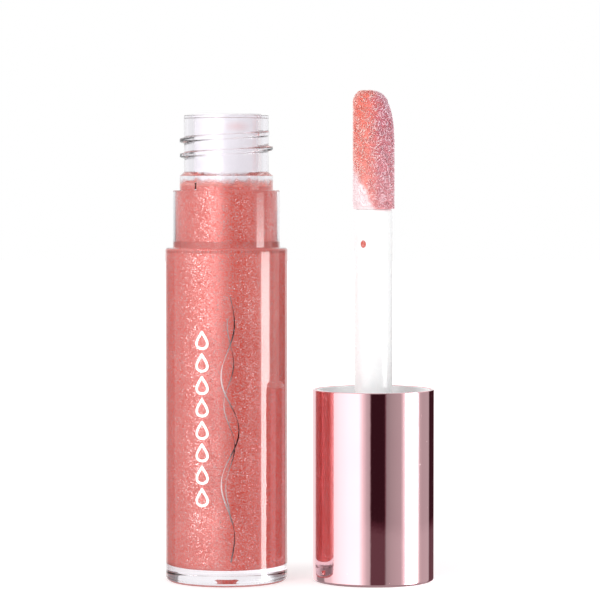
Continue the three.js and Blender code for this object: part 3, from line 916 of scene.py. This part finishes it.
def white_stem(look):
    foot, hole_foot = foot_of("stem"), STEM_TOP - STEM_HOLE_DEPTH
    outline = rounded([
        (0, foot, 0),
        (STEM_RADIUS, foot, 0.12 * MM),
        (STEM_RADIUS, FLOCK_FOOT, 0.5 * MM),
        (STEM_HOLE_RADIUS, FLOCK_FOOT, 0.05 * MM),
        (STEM_HOLE_RADIUS, hole_foot, 0.05 * MM),
        (0, hole_foot, 0),
    ], steps=8)
    ridden(lathe("white_stem", outline, CAP_X, 160), "cap", look, "stem", slot="white_pp")


# ---------------- the flocked tip

TIP_RADIUS = 2.95 * MM
TIP_CORNER = 1.65 * MM
SLANT = math.radians(24)
SLANT_TURN = math.radians(-11)
SLANT_BLEND = 2.6 * MM
SLANT_OFFSET = -0.65 * MM
NAP = 0.24 * MM
CORE_DEPTH = 0.6 * MM
FAN_DROP = 6.0 * MM  # from the tip down to where its skin is drawn as a fan
# Wet tufts and fine hairs: how many, their lengths and widths in mm, taper, and how far they lie over.
FIBRES = (
    (4600, (0.42, 0.75), (0.085, 0.130), 0.55, 1.0),
    (6500, (0.24, 0.42), (0.022, 0.036), 0.5, 0.5),
)
CLUMP = 1.5 * MM


def tip_depth(points):
    """Signed distance from the tip's outside: a round rod with a rounded end, cut by a slanted face."""
    radius = np.hypot(points[:, 0], points[:, 1])
    height = points[:, 2]
    out = np.stack([radius - (TIP_RADIUS - TIP_CORNER), height - (TIP_TOP - TIP_CORNER)], axis=1)
    rod = np.linalg.norm(np.maximum(out, 0), axis=1) + np.minimum(out.max(axis=1), 0) - TIP_CORNER
    # The slanted face rolls over into the level end.
    across = points[:, 0] * math.cos(SLANT_TURN) + points[:, 1] * math.sin(SLANT_TURN) - SLANT_OFFSET
    above = height - (TIP_TOP - SLANT_BLEND)
    face = across * math.cos(SLANT) + above * math.sin(SLANT) - SLANT_BLEND
    turn = np.arctan2(above, across)
    rolled = np.hypot(across, above) - SLANT_BLEND
    slab = np.where(turn < SLANT, face, np.where(turn < math.pi / 2, rolled, above - SLANT_BLEND))
    # Where the face meets the rod, the edge is crisp near the end and softer further down.
    reach = np.interp(TIP_TOP - height, (1.0 * MM, 6.0 * MM), (0.25 * MM, 1.3 * MM))
    near = np.maximum(reach - np.abs(rod - slab), 0) / reach
    return np.maximum(rod, slab) + near * near * reach / 4


def tip_skin(columns, rows, fan_rows, inset):
    """The tip's skin, set in by some depth: rings up the side, then a fan over the end."""
    turns = np.arange(columns) * math.tau / columns
    fan = TIP_TOP - FAN_DROP
    starts, ways = [], []
    for row in range(rows):
        starts.append((0, 0, FLOCK_FOOT + (fan - FLOCK_FOOT) * row / rows))
        ways.append(0.0)
    for row in range(fan_rows):
        starts.append((0, 0, fan))
        ways.append(math.pi / 2 * (row / (fan_rows - 0.4)) ** 0.8)
    starts = np.repeat(np.array(starts), columns, axis=0)
    rise = np.repeat(np.array(ways), columns)
    turn = np.tile(turns, rows + fan_rows)
    ways = np.stack([np.cos(turn) * np.cos(rise), np.sin(turn) * np.cos(rise), np.sin(rise)], axis=1)
    near, far = np.zeros(len(ways)), np.full(len(ways), FAN_DROP * 1.5)
    for _ in range(30):
        middle = (near + far) / 2
        inside = tip_depth(starts + ways * middle[:, None]) < -inset
        near, far = np.where(inside, middle, near), np.where(inside, far, middle)
    skin = starts + ways * near[:, None]
    last = len(skin) - columns
    skin = np.vstack([skin, (0, 0, skin[last:, 2].max()), (0, 0, FLOCK_FOOT)])
    faces = []
    for row in range(rows + fan_rows - 1):
        faces += band(row * columns, (row + 1) * columns, columns)
    faces += spokes(len(skin) - 2, last, columns)
    faces += [(len(skin) - 1, (i + 1) % columns, i) for i in range(columns)]
    return skin, faces


def outwards(points):
    """The direction out of the tip at each point."""
    step = 0.05 * MM
    slopes = [tip_depth(points + step * axis) - tip_depth(points - step * axis) for axis in np.eye(3)]
    ways = np.stack(slopes, axis=1)
    return ways / np.linalg.norm(ways, axis=1)[:, None]


def wave(points, size, seed):
    """A smooth random field with features of about this size, for fibres that lean together."""
    draw = np.random.default_rng(seed)
    total = np.zeros(len(points))
    for _ in range(6):
        way = draw.normal(size=3)
        length, phase = size * draw.uniform(0.7, 1.6), draw.uniform(0, 7)
        total += np.sin(points @ (way / np.linalg.norm(way)) * math.tau / length + phase)
    return total / 2.4


def spikes(roots, ways, lengths, widths, taper):
    """Slim three-sided spikes: the corners of each foot, then of each end."""
    sides = np.cross(ways, np.array([0.31, 0.52, 0.79]))
    sides /= np.linalg.norm(sides, axis=1)[:, None]
    others = np.cross(ways, sides)
    rings = []
    for centre, width in ((roots, widths), (roots + ways * lengths[:, None], widths * taper)):
        for k in range(3):
            turn = math.tau * k / 3
            rings.append(centre + (sides * math.cos(turn) + others * math.sin(turn)) * width[:, None])
    return np.stack(rings, axis=1).reshape(-1, 3)


SPIKE_FACES = ((0, 2, 1), (3, 4, 5), (0, 1, 4, 3), (1, 2, 5, 4), (2, 0, 3, 5))


def flocked_tip(look):
    """The tip's skin with thousands of short fibres and wet tufts lying on it, leaning together in places."""
    skin, faces = tip_skin(128, 70, 56, NAP)
    # The skin takes the darkest tone: painted shade between the fibres.
    places, tones, skin_faces = [skin], [np.zeros(len(skin))], len(faces)
    draw = np.random.default_rng(11)
    quads = np.array([f for f in faces if len(f) == 4])
    one, two, three, four = (skin[quads[:, k]] for k in range(4))
    area = np.linalg.norm(np.cross(three - one, four - two), axis=1)
    for count, length, width, taper, lie in FIBRES:
        pick = draw.choice(len(quads), size=count, p=area / area.sum())
        s, t = draw.random((2, count, 1))
        roots = (one[pick] * (1 - s) + two[pick] * s) * (1 - t) + (four[pick] * (1 - s) + three[pick] * s) * t
        normals = outwards(roots)
        dry = roots[:, 2] - FLOCK_FOOT + DRY_CLIMB * roots[:, 0] < 0
        lean = np.stack([wave(roots, CLUMP, seed) for seed in (1, 2, 3)], axis=1)
        lean = lean + draw.normal(scale=0.45, size=lean.shape)
        lean -= normals * (lean * normals).sum(axis=1)[:, None]
        ways = normals + lean * lie
        ways /= np.linalg.norm(ways, axis=1)[:, None]
        lengths = draw.uniform(*length, count) * MM * np.where(dry, 0.75, 1)
        widths = draw.uniform(*width, count) * MM * np.where(dry, 0.6, 1)
        # No fibre reaches past the tip's outside.
        rise = (ways * normals).sum(axis=1) * lengths
        room = NAP - widths * taper * 0.6
        lengths = lengths * np.minimum(1, room / np.maximum(rise, 0.01 * MM))
        spiked = spikes(roots - normals * widths[:, None] * 0.3, ways, lengths, widths, taper)
        spiked[:, 2] = np.clip(spiked[:, 2], FLOCK_FOOT, TIP_TOP)
        first = sum(len(p) for p in places)
        for k in range(count):
            faces += [tuple(first + 6 * k + corner for corner in face) for face in SPIKE_FACES]
        # A fibre is dark at its root and lighter at its end, each at its own random tone: painted shade at
        # the root, painted light at the end.
        tone = draw.random(count)
        ends = np.stack([0.1 + tone * 0.35] * 3 + [0.35 + tone * 0.85] * 3, axis=1)
        places.append(spiked)
        tones.append(ends.reshape(-1))
    places = np.vstack(places)
    places[:, 0] += CAP_X
    piece = new_piece("flocked_tip", places.tolist(), faces)
    piece.data.polygons.foreach_set("use_smooth", [k < skin_faces for k in range(len(faces))])
    painted(piece.data, "tone", np.concatenate(tones))
    ridden(piece, "cap", look, "flocking", slot="flock_fibre")


def white_core(look):
    """The stiff core under the flocking, with the shank that plugs it into the stem."""
    skin, faces = tip_skin(64, 40, 30, CORE_DEPTH)
    skin[:, 0] += CAP_X
    foot, columns, chamfer = foot_of("tip_core"), 48, 0.1 * MM
    rings = (
        (SHANK_RADIUS - chamfer, foot),
        (SHANK_RADIUS, foot + chamfer),
        (SHANK_RADIUS, FLOCK_FOOT + 0.5 * MM),
    )
    places, first = skin.tolist(), len(skin)
    for radius, height in rings:
        for turn in (math.tau * i / columns for i in range(columns)):
            places.append((CAP_X + radius * math.cos(turn), radius * math.sin(turn), height))
    last = first + 2 * columns
    faces += band(first, first + columns, columns) + band(first + columns, last, columns)
    faces += [tuple(reversed(range(first, first + columns))), tuple(range(last, last + columns))]
    ridden(new_piece("white_core", places, faces), "cap", look, "tip_core", slot="white_pp")


# ---------------- the drop on the stem

STEM_DROP_HEIGHT = 47.0 * MM
STEM_DROP_FACING = (-0.55, -0.84, 0)
STEM_DROP_WIDE, STEM_DROP_TALL, STEM_DROP_DEEP = 0.40 * MM, 0.48 * MM, 0.22 * MM


def stem_drop(look):
    """A drop of gloss that clings to the stem: a soft uneven dome, longer towards its top."""
    facing = Vector(STEM_DROP_FACING).normalized()
    centre = Vector((CAP_X, 0, STEM_DROP_HEIGHT)) + facing * (STEM_RADIUS + 0.02 * MM)
    side = Vector((-facing.y, facing.x, 0)).normalized()
    work = bmesh.new()
    bmesh.ops.create_icosphere(work, subdivisions=4, radius=1.0)
    phase_across, phase_up = (chance.uniform(0, math.tau) for _ in range(2))
    places = []
    for p in (vertex.co for vertex in work.verts):
        swell = 1 + 0.05 * math.sin(2 * p.x + phase_across) + 0.04 * math.sin(2 * p.z + phase_up)
        upwards = p.z * STEM_DROP_TALL * (1 + 0.12 * max(p.z, 0))
        shape = side * (p.x * STEM_DROP_WIDE) + facing * (p.y * STEM_DROP_DEEP) + Vector((0, 0, upwards))
        places.append(centre + shape * swell)
    work.verts.index_update()
    faces = [[corner.index for corner in face.verts] for face in work.faces]
    work.free()
    ridden(new_piece("stem_drop", places, faces), "cap", look)


# ---------------- studio

CAMERA_DISTANCE = 0.418
CAMERA_HEIGHT = 0.057
CAMERA_PITCH = 2.44  # degrees down
CAMERA_LENS = 180.0
WORLD_LIGHT, WORLD_SEEN = 0.40, 1.0
LAMP_TARGET = (0.01, 0, 0.035)
SURROUND_RADIUS = 0.072
SURROUND_TOP = 0.15
SURROUND_FOOT = -0.026
# What shows in the table: the cards' mirror image, dimmed, and the table's own pale light.
TABLE_MIRROR, TABLE_GLOW = 0.93, 0.10
# As light sees the cards from inside the bottle: how far the soft box is raised, with its place and width in
# degrees, the most that the strip gives, and the least that the flags behind give.
PEARL_BOOST, PEARL_AT, PEARL_WIDTH = 1.9, -40, 18
STRIP_WITHIN, FLAG_WITHIN = 1.8, 0.27

# Round the object, in degrees to the right of the camera: (where, how bright), with a ramp between stops.
SURROUND = (
    (-180, 1.0), (-140, 1.0), (-134, 0.28), (-107, 0.22), (-103, 0.8), (-84, 0.9), (-76, 1.25),
    (-62, 1.5), (-40, 1.7), (-20, 1.75), (-12, 1.0), (-5, 0.62), (0, 0.5), (3, 0.035), (26, 0.035),
    (30, 0.32), (37, 0.40), (54, 0.50), (58, 0.9), (62, 1.6), (65, 10.5), (83, 10.5), (87, 1.6),
    (91, 0.6), (97, 0.5), (116, 0.5), (120, 0.04), (146, 0.04), (149, 0.9), (152, 1.0), (180, 1.0),
)
STRIP_FROM, STRIP_TO = 58, 92
GAP_FROM, GAP_TO = 0, 30
BEHIND = 95
# Where each sort of card ends upwards, half the height of its soft edge, and the glow above it.
STRIP_END = (0.048, 0.012, 0.75)
GAP_END = (0.058, 0.008, 0.6)
FLAG_END = (0.048, 0.010, 0.9)
FLAG_LIMIT = 0.8


def ended(glow, height, top, edge, above):
    """A card's glow, which passes softly into the glow above the card."""
    return above + (glow - above) * float(eased((top + edge - height) / (2 * edge)))


def surround_glow(azimuth, height):
    """How bright the surround is. The strip light and the dark flags end part way up."""
    stops, glows = zip(*SURROUND)
    glow = np.interp(azimuth, stops, glows)
    if STRIP_FROM < azimuth < STRIP_TO:
        return ended(glow, height, *STRIP_END) if glow > STRIP_END[2] else glow
    if GAP_FROM < azimuth < GAP_TO:
        return ended(glow, height, *GAP_END)
    if abs(azimuth) > BEHIND and glow < FLAG_LIMIT:
        return ended(glow, height, *FLAG_END)
    return glow


def glow_within(azimuth, shine):
    """A card's glow as light sees it from inside the bottle."""
    boost = 1 + PEARL_BOOST * math.exp(-((azimuth - PEARL_AT) / PEARL_WIDTH) ** 2)
    return max(min(shine, STRIP_WITHIN), FLAG_WITHIN if abs(azimuth) > BEHIND else 0.0) * boost


def surround():
    """A ring of cards that only reflections and refractions see, with its mirror image below the table."""
    columns, rows = 360, 88
    places, faces, glow, within = [], [], [], []
    centre = (BOTTLE_X + CAP_X) / 2
    for row in range(rows + 1):
        height = SURROUND_FOOT + (SURROUND_TOP - SURROUND_FOOT) * row / rows
        for column in range(columns):
            azimuth = -180 + column * 360 / columns
            turn = math.radians(azimuth)
            across, along = SURROUND_RADIUS * math.sin(turn), -SURROUND_RADIUS * math.cos(turn)
            places.append((centre + across, along, height))
            shine = surround_glow(azimuth, height)
            glow.append(shine if height > 0 else TABLE_MIRROR * shine + TABLE_GLOW)
            within.append(glow_within(azimuth, shine))
    for row in range(rows):
        faces += band(row * columns, (row + 1) * columns, columns)
    mesh = bpy.data.meshes.new("surround")
    mesh.from_pydata(places, [], faces)
    painted(mesh, "glow", glow)
    painted(mesh, "within", within)
    cards = placed("surround", mesh)
    look = bpy.data.materials.new("surround")
    look.use_nodes = True
    look.cycles.emission_sampling = "NONE"
    inside = maths(look, "GREATER_THAN", node(look, "LightPath").outputs["Transmission Depth"], 0.5)
    strength = ranged(look, inside, 0.0, 1.0, paint(look, "glow"), paint(look, "within"))
    # The darkest cards are plum.
    tint = blended(look, ranged(look, strength, 0.06, 0.30, 0.0, 1.0), rgb(1.0, 0.30, 0.45), rgb(1, 1, 1))
    emission = node(look, "Emission", Color=tint, Strength=strength)
    look.node_tree.links.new(emission.outputs[0], look.node_tree.nodes["Material Output"].inputs["Surface"])
    mesh.materials.append(look)
    cards.visible_camera = False
    cards.visible_diffuse = False
    cards.visible_shadow = False


def floor():
    mesh = bpy.data.meshes.new("floor")
    reach = 1.5
    mesh.from_pydata(
        [(-reach, -reach, 0), (reach, -reach, 0), (reach, reach, 0), (-reach, reach, 0)], [], [(0, 1, 2, 3)]
    )
    plane = placed("floor", mesh)
    look, shader = new_look(
        "floor", Base_Color=rgb(0.90, 0.90, 0.90), Roughness=0.6, Specular_IOR_Level=0.0,
        Emission_Color=rgb(1, 1, 1),
    )
    # It glows with painted light, fainter near the object and strongest far off, so that it pales towards the
    # horizon.
    wire(look, shader, Emission_Strength=ranged(look, length_of(look, spot(look)), 0.03, 0.30, 0.42, 1.0))
    mesh.materials.append(look)
    plane.visible_glossy = False


def lamp(name, place, target, size, power):
    """A soft rectangular lamp that neither the camera nor reflections see."""
    data = bpy.data.lights.new(name, "AREA")
    data.shape = "RECTANGLE"
    data.size, data.size_y = size
    data.energy = power
    light = placed(name, data)
    light.location = place
    light.rotation_euler = (Vector(target) - Vector(place)).to_track_quat("-Z", "Y").to_euler()
    light.visible_camera = False
    light.visible_glossy = False


def world():
    """Even white light all round, stronger where the camera sees it than where it lights the object."""
    scene.world = bpy.data.worlds.new("studio")
    scene.world.use_nodes = True
    tree = scene.world.node_tree
    background = tree.nodes["Background"]
    rays = tree.nodes.new("ShaderNodeLightPath")
    strength = tree.nodes.new("ShaderNodeMix")
    strength.inputs[2].default_value = WORLD_LIGHT
    strength.inputs[3].default_value = WORLD_SEEN
    tree.links.new(rays.outputs["Is Camera Ray"], strength.inputs[0])
    tree.links.new(strength.outputs[0], background.inputs["Strength"])
    background.inputs["Color"].default_value = rgb(1, 1, 1)


def camera():
    data = bpy.data.cameras.new("camera")
    data.lens = CAMERA_LENS
    data.clip_start, data.clip_end = 0.01, 10.0
    eye = placed("camera", data)
    eye.location = ((BOTTLE_X + CAP_X) / 2, -CAMERA_DISTANCE, CAMERA_HEIGHT)
    eye.rotation_euler = (math.radians(90 - CAMERA_PITCH), 0, 0)
    scene.camera = eye


def studio():
    floor()
    surround()
    world()
    lamp("key", (-0.30, -0.32, 0.22), LAMP_TARGET, size=(0.30, 0.30), power=1.15)
    lamp("fill", (0.34, -0.20, 0.12), LAMP_TARGET, size=(0.12, 0.25), power=0.20)
    lamp("top", (0.01, 0.05, 0.45), (0.01, 0, 0.0), size=(0.4, 0.4), power=0.5)
    camera()
    scene.view_settings.view_transform = "Standard"


# ---------------- the scene

white = white_plastic("white_pp", rgb(0.90, 0.90, 0.905), 0.22)
gloss_look = gloss_fill()
clear_bottle(clear_petg())
pearly_gloss(gloss_look)
gloss_film(smeared_gloss())
frosted_wiper(frosted_ldpe())
ornament(
    foil("light_foil", rgb(0.97, 0.90, 0.88), rgb(0.99, 0.95, 0.93)),
    foil("dark_foil", rgb(0.55, 0.45, 0.46), rgb(0.70, 0.58, 0.58)),
)
rose_overcap(rose_metal())
white_inner_cap(white)
foam_washer(liner_foam())
white_stem(white)
flocked_tip(flock_fibre())
stem_drop(gloss_look)
white_core(white_plastic("core_white", rgb(0.88, 0.88, 0.88), 0.4))
studio()
